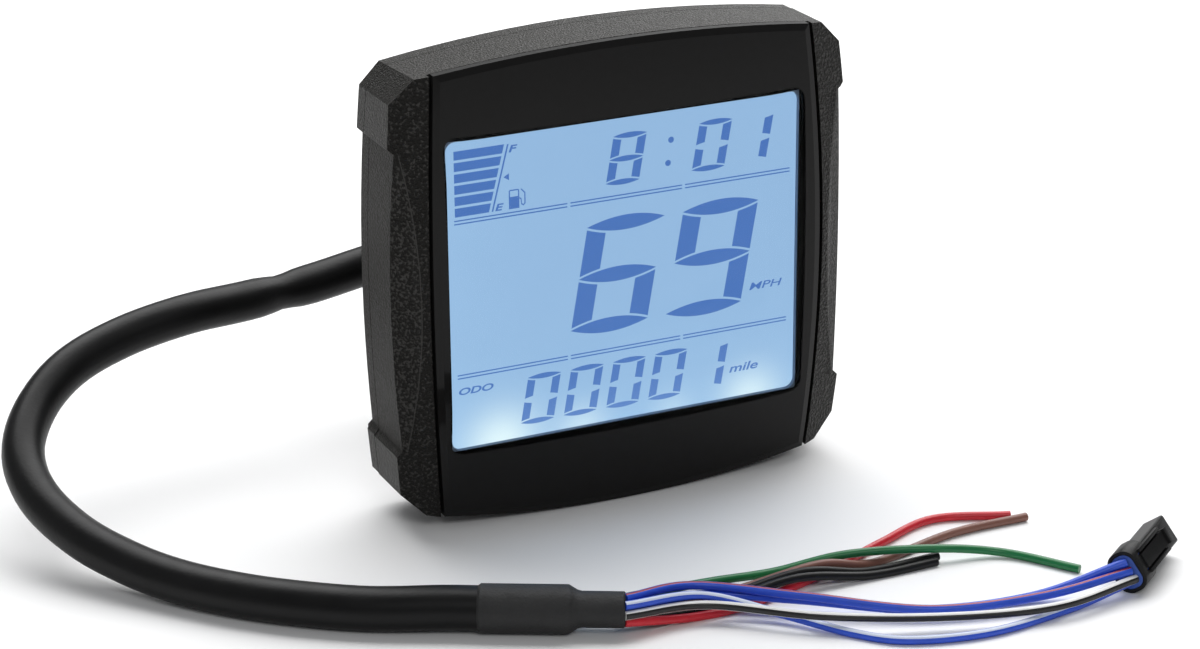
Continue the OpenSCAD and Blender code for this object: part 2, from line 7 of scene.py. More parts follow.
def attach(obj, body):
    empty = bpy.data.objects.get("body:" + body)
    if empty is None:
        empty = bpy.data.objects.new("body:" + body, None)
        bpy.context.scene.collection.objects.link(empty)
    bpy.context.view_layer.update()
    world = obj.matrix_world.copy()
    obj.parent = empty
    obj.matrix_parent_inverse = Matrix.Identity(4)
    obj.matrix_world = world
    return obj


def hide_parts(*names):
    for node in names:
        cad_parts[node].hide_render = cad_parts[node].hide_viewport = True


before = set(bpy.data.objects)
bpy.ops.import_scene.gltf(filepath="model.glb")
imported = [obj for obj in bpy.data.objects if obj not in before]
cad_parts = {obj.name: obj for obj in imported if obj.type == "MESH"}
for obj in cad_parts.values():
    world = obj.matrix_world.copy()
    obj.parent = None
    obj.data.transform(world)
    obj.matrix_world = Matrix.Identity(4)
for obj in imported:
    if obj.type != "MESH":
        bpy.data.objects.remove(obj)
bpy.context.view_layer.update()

# ---- Camera -----------------------------------------------------------------------
# A long lens about 65 cm away, above the display and to its left. It looks slightly
# down, so that the top and the left side of the housing both show.
camera_data = bpy.data.cameras.new("camera")
camera_data.lens = 97.71
camera_data.sensor_width = 36
camera_data.clip_start = 0.01
camera_data.clip_end = 20
camera_right = Vector((0.90414546, -0.42716628, -0.00706823))
camera_up = Vector((0.16089602, 0.32513491, 0.93187969))
camera_back = Vector((-0.39576945, -0.84369204, 0.3626986))
camera = bpy.data.objects.new("camera", camera_data)
bpy.context.scene.collection.objects.link(camera)
camera.matrix_world = Matrix.Translation((-0.25534, -0.55569, 0.21843)) @ Matrix(
    (camera_right, camera_up, camera_back)).transposed().to_4x4()
bpy.context.scene.camera = camera

# ---- Cable sleeve -----------------------------------------------------------------
# Black PVC tubing over the bundle of wires. It leaves the grommet in the middle of the
# back, swings wide to the left and drops to the table, with a slight pinch in its first
# bend, and ends in the heat-shrink.
SLEEVE_DIAMETER = 0.0083
SLEEVE_ROUTE = [
    (0, 10, -8), (0, 19, -8), (-4.5, 28.5, -9), (-14, 36, -11.5),
    (-28, 39, -14.5), (-43, 37.8, -16.4), (-58, 34, -16.2), (-72, 31, -15.8),
    (-86, 29, -17.6), (-98, 25.5, -20.8), (-107, 19, -25.5), (-112.3, 10, -30.4),
    (-112.6, -0.5, -35), (-108.5, -12, -39), (-102.5, -22, -41.5), (-96, -31, -42.8),
    (-88, -40.5, -43.1), (-79, -49, -43.1), (-68, -57, -43.1), (-56.2, -63.2, -42.7),
    (-50.5, -66.2, -42.7)]


class Signal:
    """One shader socket that takes part in ordinary arithmetic."""

    def __init__(self, finish, socket):
        self.finish = finish
        self.socket = socket

    def maths(self, operation, first, second=0.0):
        return self.finish.node(
            "ShaderNodeMath", {"operation": operation}, {0: first, 1: second})

    def __add__(self, other):
        return self.maths("ADD", self, other)

    __radd__ = __add__

    def __sub__(self, other):
        return self.maths("SUBTRACT", self, other)

    def __rsub__(self, other):
        return self.maths("SUBTRACT", other, self)

    def __mul__(self, other):
        return self.maths("MULTIPLY", self, other)

    __rmul__ = __mul__

    def __truediv__(self, other):
        return self.maths("DIVIDE", self, other)

    def __gt__(self, other):
        return self.maths("GREATER_THAN", self, other)

    def __lt__(self, other):
        return self.maths("LESS_THAN", self, other)

    def __abs__(self):
        return self.maths("ABSOLUTE", self)

    def __pow__(self, other):
        return self.maths("POWER", self, other)

    def at_least(self, other):
        return self.maths("MAXIMUM", self, other)

    def at_most(self, other):
        return self.maths("MINIMUM", self, other)


class Finish:
    """A material that ends in one Principled shader, with its even values set on it."""

    def __init__(self, name, **even):
        self.material = bpy.data.materials.new(name)
        self.material.use_nodes = True
        self.tree = self.material.node_tree
        self.surface = self.tree.nodes["Principled BSDF"]
        for socket, value in even.items():
            self.surface.inputs[socket.replace("_", " ")].default_value = value

    def node(self, kind, settings=None, inputs=None, out=0):
        made = self.tree.nodes.new(kind)
        for key, value in (settings or {}).items():
            setattr(made, key, value)
        for key, value in (inputs or {}).items():
            self.feed(made.inputs[key], value)
        return Signal(self, made.outputs[out])

    def feed(self, socket, value):
        if isinstance(value, Signal):
            self.tree.links.new(value.socket, socket)
        else:
            socket.default_value = value

    def drive(self, socket, value):
        self.feed(self.surface.inputs[socket], value)

    def place(self):
        return self.node("ShaderNodeTexCoord", out="Object")

    def across(self):
        """The x, y and z of a point on the piece, in metres."""
        split = self.tree.nodes.new("ShaderNodeSeparateXYZ")
        self.feed(split.inputs[0], self.place())
        return [Signal(self, output) for output in split.outputs]

    def noise(self, size, detail=2.0):
        """Cloudy variation from 0 to 1 whose lumps are about size metres wide."""
        return self.node("ShaderNodeTexNoise", inputs={
            "Vector": self.place(), "Scale": 1 / size, "Detail": detail})

    def blend(self, share, first, second):
        return self.node("ShaderNodeMix", {"data_type": "RGBA"},
                         {0: share, 6: first, 7: second}, out=2)

    def relief(self, height, depth):
        """Raises the surface by height, from 0 to 1, times depth in metres."""
        self.drive("Normal", self.node(
            "ShaderNodeBump", inputs={"Height": height, "Distance": depth}))


def shade(colour, factor):
    """The colour made lighter or darker by a factor, opaque."""
    return (*[channel * factor for channel in colour], 1)


def soft_pvc(name, colour, roughness, stripe=None, stripe_side=0.25, stripe_width=0.16,
             shine=0.5):
    """Extruded PVC: gloss that wanders a little, faint drawing marks, maybe a stripe."""
    finish = Finish(name, Specular_IOR_Level=shine)
    clouds = finish.noise(0.004, 3)
    tone = finish.blend(clouds, shade(colour, 0.82), shade(colour, 1.12))
    if stripe is not None:
        around = finish.tree.nodes.new("ShaderNodeSeparateXYZ")
        finish.feed(around.inputs[0], finish.node("ShaderNodeTexCoord", out="UV"))
        side = Signal(finish, around.outputs[1])
        painted = abs(side - stripe_side) < stripe_width / 2
        tone = finish.blend(painted, tone, shade(stripe, 1))
    finish.drive("Base Color", tone)
    finish.drive("Roughness", clouds * 0.16 + (roughness - 0.08))
    finish.relief(finish.noise(0.0007, 2), 0.00003)
    return finish


def smooth_route(knots, steps):
    """Points in metres of a smooth curve through knots given in millimetres."""
    knots = [Vector(knot) / 1000 for knot in knots]
    ends = [2 * knots[0] - knots[1], *knots, 2 * knots[-1] - knots[-2]]
    route = []
    for a, b, c, d in zip(ends, ends[1:], ends[2:], ends[3:]):
        for step in range(steps):
            t = step / steps
            route.append(0.5 * (2 * b + (c - a) * t + (2 * a - 5 * b + 4 * c - d) * t ** 2
                                + (3 * b - a - 3 * c + d) * t ** 3))
    return [*route, knots[-1]]


def lay_tube(name, route, diameter, rings, waist=None):
    """A closed round tube along a route, as a mesh whose UV runs along and around it."""
    curve = bpy.data.curves.new(name, "CURVE")
    curve.dimensions = "3D"
    curve.bevel_depth = diameter / 2
    curve.bevel_resolution = rings
    curve.use_fill_caps = True
    spline = curve.splines.new("POLY")
    spline.points.add(len(route) - 1)
    for number, point in enumerate(route):
        spline.points[number].co = (*point, 1)
        spline.points[number].radius = waist(point) if waist else 1
    tube = bpy.data.objects.new(name, curve)
    bpy.context.scene.collection.objects.link(tube)
    bpy.ops.object.select_all(action="DESELECT")
    bpy.context.view_layer.objects.active = tube
    tube.select_set(True)
    bpy.ops.object.convert(target="MESH")
    bpy.ops.object.shade_smooth_by_angle(angle=math.radians(50))
    return bpy.context.object


def pinch(point):
    """The sleeve is pressed a little thinner where it folds round behind the case."""
    away = (point - Vector((-0.050, 0.0362, -0.0163))).length
    return 1 - 0.15 * math.exp(-(away / 0.0035) ** 2)


def length_of(route):
    return sum((b - a).length for a, b in zip(route, route[1:]))


sleeve_finish = soft_pvc("sleeve_pvc", (0.003, 0.003, 0.0032), 0.42, shine=0.22)
sleeve_route = smooth_route(SLEEVE_ROUTE, 6)
sleeve = lay_tube("sleeve_tube", sleeve_route, SLEEVE_DIAMETER, 8, pinch)
sleeve.data.materials.append(sleeve_finish.material)
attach(sleeve, "housing")
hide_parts("cable_sleeve")

# ---- Heat-shrink end --------------------------------------------------------------
# Matt black adhesive-lined tubing, shrunk over the last of the sleeve and down to a neck
# on the nine wires. Its skin shows the slight lumps of what is inside.


def finished_copy(node, name, body, finish, edge=0.0, angle=32, rounding=2):
    """A merged, smooth copy that stands for a CAD node, its sharp edges eased."""
    piece = bpy.data.objects.new(name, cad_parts[node].data.copy())
    bpy.context.scene.collection.objects.link(piece)
    bpy.ops.object.select_all(action="DESELECT")
    bpy.context.view_layer.objects.active = piece
    piece.select_set(True)
    if piece.data.has_custom_normals:
        bpy.ops.mesh.customdata_custom_splitnormals_clear()
    bpy.ops.object.mode_set(mode="EDIT")
    bpy.ops.mesh.select_all(action="SELECT")
    bpy.ops.mesh.remove_doubles(threshold=0.000002)
    bpy.ops.mesh.dissolve_limited(angle_limit=math.radians(0.6))
    bpy.ops.object.mode_set(mode="OBJECT")
    if edge:
        easing = piece.modifiers.new("easing", "BEVEL")
        easing.width = edge
        easing.segments = rounding
        easing.limit_method = "ANGLE"
        easing.angle_limit = math.radians(angle)
        bpy.ops.object.modifier_apply(modifier="easing")
    bpy.ops.object.shade_smooth_by_angle(angle=math.radians(angle))
    piece.data.materials.clear()
    piece.data.materials.append(finish.material)
    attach(piece, body)
    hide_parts(node)
    return piece


shrink_finish = Finish("shrink_tube", Roughness=0.62)
shrink_clouds = shrink_finish.noise(0.003, 4)
shrink_finish.drive("Base Color", shrink_finish.blend(
    shrink_clouds, (0.006, 0.006, 0.0065, 1), (0.012, 0.012, 0.012, 1)))
shrink_finish.relief(shrink_clouds + shrink_finish.noise(0.0004, 2) * 0.25, 0.0004)
shrink = finished_copy("heat_shrink", "shrink_tube", "housing", shrink_finish)

# ---- Plug -------------------------------------------------------------------------
# A six-way sealed plug in satin black, with a latch arm on its top, a flange at the wire
# end and a blue rubber seal whose face shows round the four wires.
plug_finish = Finish("plug_plastic", Roughness=0.42, Specular_IOR_Level=0.15)
plug_finish.drive("Base Color", plug_finish.blend(
    plug_finish.noise(0.002, 2), (0.006, 0.006, 0.0065, 1), (0.011, 0.011, 0.011, 1)))
plug_finish.relief(plug_finish.noise(0.00022, 2), 0.00003)
plug = finished_copy("plug_housing", "plug_body", "housing", plug_finish,
                     edge=0.00012)

seal_finish = Finish("seal_blue", Roughness=0.55)
seal_finish.drive("Base Color", seal_finish.blend(
    seal_finish.noise(0.001, 2), (0.02, 0.06, 0.3, 1), (0.035, 0.1, 0.42, 1)))
seal_finish.relief(seal_finish.noise(0.0003, 2), 0.00005)
finished_copy("plug_seal", "plug_seal_block", "housing", seal_finish,
              edge=0.0001)

brass_finish = Finish("brass_contact", Metallic=1.0)
brass_marks = brass_finish.noise(0.0006, 3)
brass_finish.drive("Base Color", brass_finish.blend(
    brass_marks, (0.6, 0.46, 0.2, 1), (0.8, 0.66, 0.34, 1)))
brass_finish.drive("Roughness", brass_marks * 0.2 + 0.22)


def paint(node, finish):
    """Puts a finish on a CAD node that is shown as it is."""
    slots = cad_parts[node].data.materials
    slots.clear()
    slots.append(finish.material)


paint("plug_terminals", brass_finish)

# ---- Wires ------------------------------------------------------------------------
# Thin-wall automotive wire, 1.65 mm over its PVC. Five ends are left cut and loose, and
# four are crimped into the plug. One blue wire has a red stripe, one a pale stripe, and
# the white one a black stripe.
WIRE_DIAMETER = 0.00165
RED_ROUTE = [
    (-27.8, -80.2, -44.4), (-14, -80, -46.4), (-4, -80.1, -46.4), (8, -77, -46.4),
    (19, -73.2, -46.4), (33, -67.2, -46.4), (47, -62.4, -46.4), (61.5, -67.4, -46.4)]
BROWN_ROUTE = [
    (-25.9, -76.6, -42.7), (-17, -72.6, -45.6), (-4, -73.6, -46.4), (15, -74.2, -44.4),
    (27, -74.4, -46.4), (47, -69.6, -46.4), (63.9, -69.4, -46.4)]
GREEN_ROUTE = [
    (-26.2, -77.2, -41), (-17, -73, -43.4), (-5, -71.6, -44.6), (8, -70.4, -46),
    (22, -72.6, -44.4), (38, -77.6, -44.4), (51, -81.6, -46.2), (60.3, -93.8, -46.4)]
BLACK_A_ROUTE = [
    (-26.2, -77.2, -44.4), (-10, -76, -46.4), (10, -75.8, -44.3), (24, -77.2, -46.4),
    (39.4, -77.2, -46.4)]
BLACK_B_ROUTE = [
    (-27, -78.7, -45.1), (-10, -77.9, -46.4), (8, -77.7, -44.3), (24, -79, -46.4),
    (38, -79.2, -46.4)]
BLUE_ROUTE = [
    (-27, -78.7, -42.7), (-11, -76.6, -44), (5, -84.4, -45), (25, -95.6, -46.4),
    (46, -100.4, -46), (63.3, -104.2, -41.2)]
BLUE_RED_ROUTE = [
    (-27, -78.7, -40.3), (-12, -75.8, -42.2), (5, -86.2, -43.4), (25, -98.6, -45),
    (46, -103.6, -44.6), (63.9, -105.1, -42.7)]
BLUE_PALE_ROUTE = [
    (-27.8, -80.2, -41), (-12.5, -79.7, -42.4), (-1, -86.4, -45.2), (8.7, -98, -46.4),
    (17, -105.4, -46.4), (32, -109, -46.4), (50, -107, -46.4), (63.7, -104.8, -45.2)]
WHITE_ROUTE = [
    (-28.1, -80.8, -42.7), (-12, -81.4, -43.7), (5, -94.4, -43.9), (26, -103.2, -44.7),
    (46, -108.4, -44.6), (64.6, -105.9, -44.1)]

red_finish = soft_pvc("wire_red", (0.62, 0.015, 0.03), 0.38)
brown_finish = soft_pvc("wire_brown", (0.22, 0.095, 0.07), 0.42)
green_finish = soft_pvc("wire_green", (0.006, 0.17, 0.045), 0.36)
black_finish = soft_pvc("wire_black", (0.006, 0.006, 0.006), 0.4, shine=0.25)
blue_finish = soft_pvc("wire_blue", (0.02, 0.085, 0.62), 0.36)
blue_red_finish = soft_pvc("wire_blue_red", (0.02, 0.085, 0.62), 0.36, (0.3, 0.02, 0.045),
                           stripe_side=0.2, stripe_width=0.1)
blue_pale_finish = soft_pvc("wire_blue_pale", (0.02, 0.085, 0.62), 0.36, (0.6, 0.66, 0.8))
white_finish = soft_pvc("wire_white", (0.8, 0.8, 0.78), 0.4, (0.008, 0.008, 0.008),
                        stripe_side=0.42, stripe_width=0.26)

WIRES = [
    ("wire_red", RED_ROUTE, red_finish, "wire_red", False),
    ("wire_brown", BROWN_ROUTE, brown_finish, "wire_brown", False),
    ("wire_green", GREEN_ROUTE, green_finish, "wire_green", False),
    ("wire_black_a", BLACK_A_ROUTE, black_finish, "wire_black", False),
    ("wire_black_b", BLACK_B_ROUTE, black_finish, "wire_black", False),
    ("wire_blue", BLUE_ROUTE, blue_finish, "wire_blue", True),
    ("wire_blue_red", BLUE_RED_ROUTE, blue_red_finish, "wire_blue", True),
    ("wire_blue_white", BLUE_PALE_ROUTE, blue_pale_finish, "wire_blue", True),
    ("wire_white_black", WHITE_ROUTE, white_finish, "wire_white", True)]
for node, knots, finish, slot, plugged in WIRES:
    route = smooth_route(knots, 10)
    wire = lay_tube(node + "_tube", route, WIRE_DIAMETER, 4)
    wire.data.materials.append(finish.material)
    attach(wire, "housing")
    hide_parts(node)
    round(length_of(route), 3)

# ---- Housing ----------------------------------------------------------------------
# Two mouldings in black glass-filled nylon. Their grain is fine, and coarse on the wings
# beside the lens. Each crescent scoop is painted a little lighter, with a thin painted
# highlight along its rim. A dark line marks where the two meet. The front one holds the
# lens; the walls of its window are painted pale blue as light from the display, and the
# case under the lens is painted darker as shade.
GRAIN_FINE = 0.00042
GRAIN_COARSE = 0.00055
GRAIN_DEPTH = 0.0009
SIDE_BAND_X = 0.0446
SIDE_BAND_HALF = 0.0302
WINDOW_HALF_X = 0.03735
WINDOW_HALF_Z = 0.0312
WINDOW_LAND_Y = -0.0237
WINDOW_FRONT_Y = -0.0215
FRONT_Y = -0.0195
FACING_FRONT = -0.6
FACING_WING = -0.84
SCOOP_X = 0.04805
SCOOP_Y = -0.0212
SCOOP_TILT = math.radians(41.5)
SCOOP_HIGHLIGHT_HALF = 0.00008
SCOOP_HALF = 0.0298
PARTING_Y = -0.010
PARTING_LINE = 0.0005
LENS_HALF_X = 0.0396
LENS_HALF_Z = 0.0345
LENS_BACK_Y = -0.0243

case_finish = Finish("case_plastic", Specular_IOR_Level=0.24,
                     Specular_Tint=(1, 0.97, 0.91, 1))
case_x, case_y, case_z = case_finish.across()
banded = (abs(case_x) > SIDE_BAND_X) * (abs(case_z) < SIDE_BAND_HALF)
facing = case_finish.node("ShaderNodeNewGeometry", out="Normal")
facing_y = case_finish.node("ShaderNodeSeparateXYZ", inputs={0: facing}, out="Y")
winged = (facing_y < FACING_FRONT) * (case_y < FRONT_Y)
scoop_painted_light = (facing_y > FACING_WING) * winged
above_scoop = (case_y - SCOOP_Y) * math.cos(SCOOP_TILT) - (
    abs(case_x) - SCOOP_X) * math.sin(SCOOP_TILT)
# Painted highlight: a thin pale line along the edge of each scoop, where the wing meets it.
scoop_edge_highlight = ((abs(above_scoop) < SCOOP_HIGHLIGHT_HALF) * (facing_y < FACING_WING) * (case_y < FRONT_Y)
        * (abs(case_z) < SCOOP_HALF))
parting = abs(case_y - PARTING_Y) < PARTING_LINE / 2
# Painted light: the walls of the window are coloured pale blue, as lit by the display.
window_painted_glow = ((abs(case_x) < WINDOW_HALF_X) * (abs(case_z) < WINDOW_HALF_Z)
             * (case_y > WINDOW_LAND_Y) * (case_y < WINDOW_FRONT_Y))
case_clouds = case_finish.noise(0.006, 3)
fine_grain = case_finish.noise(GRAIN_FINE, 2)
coarse_grain = case_finish.noise(GRAIN_COARSE, 3)
fine_lit = ((fine_grain - 0.5) * 3 + 0.5).at_least(0).at_most(1)
# Painted light: the scoop faces get more pale specks, so they show lighter than the rest of the
# wing.
coarse_lit = ((coarse_grain - 0.6 + scoop_painted_light * 0.05) * 8 + 0.5).at_least(0).at_most(1)
plain_tone = case_finish.blend(
    case_clouds * 0.4 + fine_lit * 0.6, (0.0045, 0.0042, 0.0036, 1), (0.0115, 0.0108, 0.0094, 1))
wing_tone_with_scoop_light = case_finish.blend(
    coarse_lit, (0.003, 0.0029, 0.0027, 1), (0.044, 0.043, 0.041, 1))
moulded_tone_with_scoop_light = case_finish.blend(winged, plain_tone, wing_tone_with_scoop_light)
case_tone_with_highlight = case_finish.blend(scoop_edge_highlight, moulded_tone_with_scoop_light, (0.042, 0.041, 0.039, 1))
# Painted shade: the case under the lens is made darker and plain, as if in the lens's shadow.
under_lens_shaded = ((abs(case_x) < LENS_HALF_X) * (abs(case_z) < LENS_HALF_Z)
              * (case_y > LENS_BACK_Y))
tone_with_lens_shade = case_finish.blend(under_lens_shaded, case_tone_with_highlight, (0.0012, 0.0012, 0.0012, 1))
tone_with_window_glow = case_finish.blend(window_painted_glow, tone_with_lens_shade, (0.2, 0.27, 0.38, 1))
case_finish.drive("Base Color", case_finish.blend(
    parting, tone_with_window_glow, (0.0008, 0.0008, 0.0008, 1)))
case_finish.drive(
    "Roughness", case_clouds * 0.06 + fine_lit * 0.14 + banded * 0.1
    + (under_lens_shaded + parting) * 0.4 + 0.36)
case_finish.relief(
    (fine_grain * (1 - winged) * 0.45 + coarse_grain * winged) * (1 - under_lens_shaded), GRAIN_DEPTH)

finished_copy("front_case", "front_moulding", "housing", case_finish,
              angle=13)
finished_copy("rear_case", "rear_moulding", "housing", case_finish,
              angle=16)

# ---- Gasket, screws and studs -----------------------------------------------------
# A rubber cord gasket in the parting line, four zinc-plated screws in the corners of the
# back, and two M5 studs that carry the whole instrument.
gasket_finish = Finish("seal_rubber", Roughness=0.7)
gasket_finish.drive("Base Color", gasket_finish.blend(
    gasket_finish.noise(0.002, 2), (0.02, 0.02, 0.02, 1), (0.04, 0.04, 0.04, 1)))
gasket_finish.relief(gasket_finish.noise(0.0004, 2), 0.00005)
finished_copy("case_gasket", "parting_gasket", "housing", gasket_finish)


def zinc_plate(name, least_roughness):
    """Zinc plating, whose tone and gloss are clouded."""
    finish = Finish(name, Metallic=1.0)
    clouds = finish.noise(0.0012, 4)
    finish.drive("Base Color", finish.blend(
        clouds, (0.5, 0.5, 0.48, 1), (0.68, 0.68, 0.66, 1)))
    finish.drive("Roughness", clouds * 0.22 + least_roughness)
    return finish


zinc_finish = zinc_plate("zinc_steel", 0.22)
zinc_finish.relief(zinc_finish.noise(0.0003, 2), 0.00002)
finished_copy("case_screws", "corner_screws", "housing", zinc_finish,
              edge=0.00012)

# The threads are a fine wave along each stud's length.
THREAD_PITCH = 0.0008
THREAD_DEPTH = 0.0003
stud_finish = zinc_plate("threaded_zinc", 0.2)
stud_y = stud_finish.across()[1]
thread_turn = stud_y * (2 * math.pi / THREAD_PITCH)
stud_thread = stud_finish.node(
    "ShaderNodeMath", {"operation": "SINE"}, {0: thread_turn}) * (stud_y > 0)
stud_finish.relief(stud_thread * 0.5 + 0.5, THREAD_DEPTH)
finished_copy("mount_studs", "threaded_studs", "housing", stud_finish)

# ---- Push buttons -----------------------------------------------------------------
# Two black rubber-capped keys on the back, each over its own brass switch plunger.
button_finish = Finish("button_rubber", Roughness=0.6)
button_clouds = button_finish.noise(0.0015, 3)
button_finish.drive("Base Color", button_finish.blend(
    button_clouds, (0.018, 0.018, 0.018, 1), (0.035, 0.035, 0.035, 1)))
button_finish.relief(button_finish.noise(0.0003, 2), 0.00005)
for key in ("select", "adjust"):
    finished_copy(key + "_button", key + "_cap", key + "_key",
                  button_finish, edge=0.0003, rounding=3)
    paint(key + "_plunger", brass_finish)

# ---- Cable grommet ----------------------------------------------------------------
# A ringed, tapering strain relief in soft PVC, moulded round the sleeve.
grommet_finish = Finish("grommet_pvc", Roughness=0.5)
grommet_clouds = grommet_finish.noise(0.002, 3)
grommet_finish.drive("Base Color", grommet_finish.blend(
    grommet_clouds, (0.012, 0.012, 0.012, 1), (0.024, 0.024, 0.024, 1)))
grommet_finish.relief(grommet_finish.noise(0.0005, 2), 0.00006)
finished_copy("cable_grommet", "ringed_grommet", "housing",
              grommet_finish, edge=0.00015)

# ---- Lens -------------------------------------------------------------------------
# One polished acrylic moulding, clear over the display. A gloss black border is printed
# round the clear part and runs out to the rim.
CLEAR_MID_X = -0.0004
CLEAR_MID_Z = 0.00065
CLEAR_HALF_X = 0.038
CLEAR_HALF_Z = 0.03185
CLEAR_CORNER = 0.0028
RIM_FACING = -0.85
PRINT_COLOUR = (0.0095, 0.0092, 0.009, 1)

lens_finish = Finish("lens_acrylic", Roughness=0.02, IOR=1.1, Transmission_Weight=1.0)
lens_finish.surface.inputs["Base Color"].default_value = (0.985, 0.99, 0.995, 1)
lens_x, _, lens_z = lens_finish.across()
over_x = (abs(lens_x - CLEAR_MID_X) - (CLEAR_HALF_X - CLEAR_CORNER)).at_least(0)
over_z = (abs(lens_z - CLEAR_MID_Z) - (CLEAR_HALF_Z - CLEAR_CORNER)).at_least(0)
printed = over_x ** 2 + over_z ** 2 > CLEAR_CORNER ** 2
border = lens_finish.tree.nodes.new("ShaderNodeBsdfPrincipled")
border.inputs["Specular IOR Level"].default_value = 0.13
border_specks = lens_finish.noise(0.0016, 2)
print_tone = lens_finish.blend(
    border_specks, PRINT_COLOUR, (0.0115, 0.0112, 0.011, 1))
lens_facing = lens_finish.node("ShaderNodeNewGeometry", out="Normal")
lens_facing_y = lens_finish.node("ShaderNodeSeparateXYZ", inputs={0: lens_facing}, out="Y")
rim = lens_facing_y > RIM_FACING
lens_finish.feed(border.inputs["Base Color"], lens_finish.blend(
    rim, print_tone, (0.013, 0.0128, 0.0125, 1)))
lens_finish.feed(border.inputs["Roughness"], border_specks * 0.03 + rim * 0.5 + 0.04)
lens_mix = lens_finish.tree.nodes.new("ShaderNodeMixShader")
lens_finish.feed(lens_mix.inputs[0], printed)
lens_finish.tree.links.new(lens_finish.surface.outputs[0], lens_mix.inputs[1])
lens_finish.tree.links.new(border.outputs[0], lens_mix.inputs[2])
lens_finish.tree.links.new(
    lens_mix.outputs[0], lens_finish.tree.nodes["Material Output"].inputs[0])
finished_copy("lens", "lens_moulding", "housing", lens_finish,
              angle=10)

# ---- Display stack ----------------------------------------------------------------
# A segment display between two polarisers, lit from behind by a pale blue light guide.
# Four lamps along its lower edge leave soft bright spots there.
LAMPS = [(-0.0267, 1.0, 0.0072), (-0.0094, 0.55, 0.0052),
         (0.0103, 0.3, 0.0045), (0.0275, 0.8, 0.0062)]
LAMP_Z = -0.0322
GLOW_EVEN = (0.29, 0.475, 0.72, 1)
GLOW_NEAR = (0.37, 0.6, 0.86, 1)
GLOW_LAMP = (0.78, 0.96, 1.0, 1)

glow_finish = Finish("lit_display", Roughness=0.35, Emission_Strength=1.0,
                     Specular_IOR_Level=0.0)
glow_finish.surface.inputs["Base Color"].default_value = (0.01, 0.015, 0.02, 1)
glow_x, _, glow_z = glow_finish.across()
lamp_glow = 0.0
for lamp_x, lamp_power, lamp_spread in LAMPS:
    away = ((glow_x - lamp_x) ** 2 + (glow_z - LAMP_Z) ** 2) / lamp_spread ** 2
    lamp_glow = lamp_glow + glow_finish.node(
        "ShaderNodeMath", {"operation": "EXPONENT"}, {0: away * -1}) * lamp_power
low_glow = glow_finish.node(
    "ShaderNodeMath", {"operation": "EXPONENT"}, {0: (glow_z - LAMP_Z) * (-1 / 0.012)})
left_glow = glow_finish.node(
    "ShaderNodeMath", {"operation": "EXPONENT"}, {0: (glow_x + 0.037) * (-1 / 0.008)})
mottle = glow_finish.noise(0.01, 2)
glow_share = (low_glow * 0.65 + left_glow * 0.25 + mottle * 0.12).at_most(1)
glow_tone = glow_finish.blend(glow_share, GLOW_EVEN, GLOW_NEAR)
glow_finish.drive("Emission Color", glow_finish.blend(
    lamp_glow.at_most(1), glow_tone, GLOW_LAMP))
finished_copy("lcd_front_polariser", "display_face", "housing",
              glow_finish)

# The marks are drawn a hair in front of the face, flat and facing the reader.
MARKS_Y = -0.02271
MARK_COLOUR = (0.066, 0.165, 0.46, 1)
MARK_NEAR_LAMPS = (0.15, 0.29, 0.62, 1)
mark_finish = Finish("lit_segments", Roughness=0.4, Emission_Strength=1.0,
                     Specular_IOR_Level=0.0)
mark_finish.surface.inputs["Base Color"].default_value = (0.01, 0.02, 0.05, 1)
mark_z = mark_finish.across()[2]
mark_glow = mark_finish.node(
    "ShaderNodeMath", {"operation": "EXPONENT"}, {0: (mark_z - LAMP_Z) * (-1 / 0.009)})
mark_finish.drive("Emission Color", mark_finish.blend(
    mark_glow.at_most(1) + mark_finish.noise(0.004, 2) * 0.06,
    MARK_COLOUR, MARK_NEAR_LAMPS))


def flat_piece(name, made):
    """Stands a flat shape drawn in millimetres upright in front of the display."""
    bpy.ops.object.select_all(action="DESELECT")
    bpy.context.view_layer.objects.active = made
    made.select_set(True)
    bpy.ops.object.convert(target="MESH")
    upright = bpy.context.object
    upright.name = name
    upright.data.transform(Matrix.Translation((0, MARKS_Y, 0))
                           @ Matrix.Rotation(math.pi / 2, 4, "X")
                           @ Matrix.Scale(0.001, 4) @ upright.matrix_world)
    upright.matrix_world = Matrix.Identity(4)
    upright.data.materials.clear()
    upright.data.materials.append(mark_finish.material)
    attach(upright, "housing")
    return upright


def flat_marks(name, outlines):
    """Filled outlines, in millimetres across and up the display. One in another cuts it."""
    curve = bpy.data.curves.new(name, "CURVE")
    curve.dimensions = "2D"
    curve.fill_mode = "BOTH"
    for outline in outlines:
        spline = curve.splines.new("POLY")
        spline.points.add(len(outline) - 1)
        spline.use_cyclic_u = True
        for number, (x, z) in enumerate(outline):
            spline.points[number].co = (x, z, 0, 1)
    drawn = bpy.data.objects.new(name, curve)
    bpy.context.scene.collection.objects.link(drawn)
    return flat_piece(name, drawn)


SEGMENTS = {"0": "abcdef", "1": "bc", "6": "acdefg", "8": "abcdefg", "9": "abcdfg"}
SLANT = 0.18


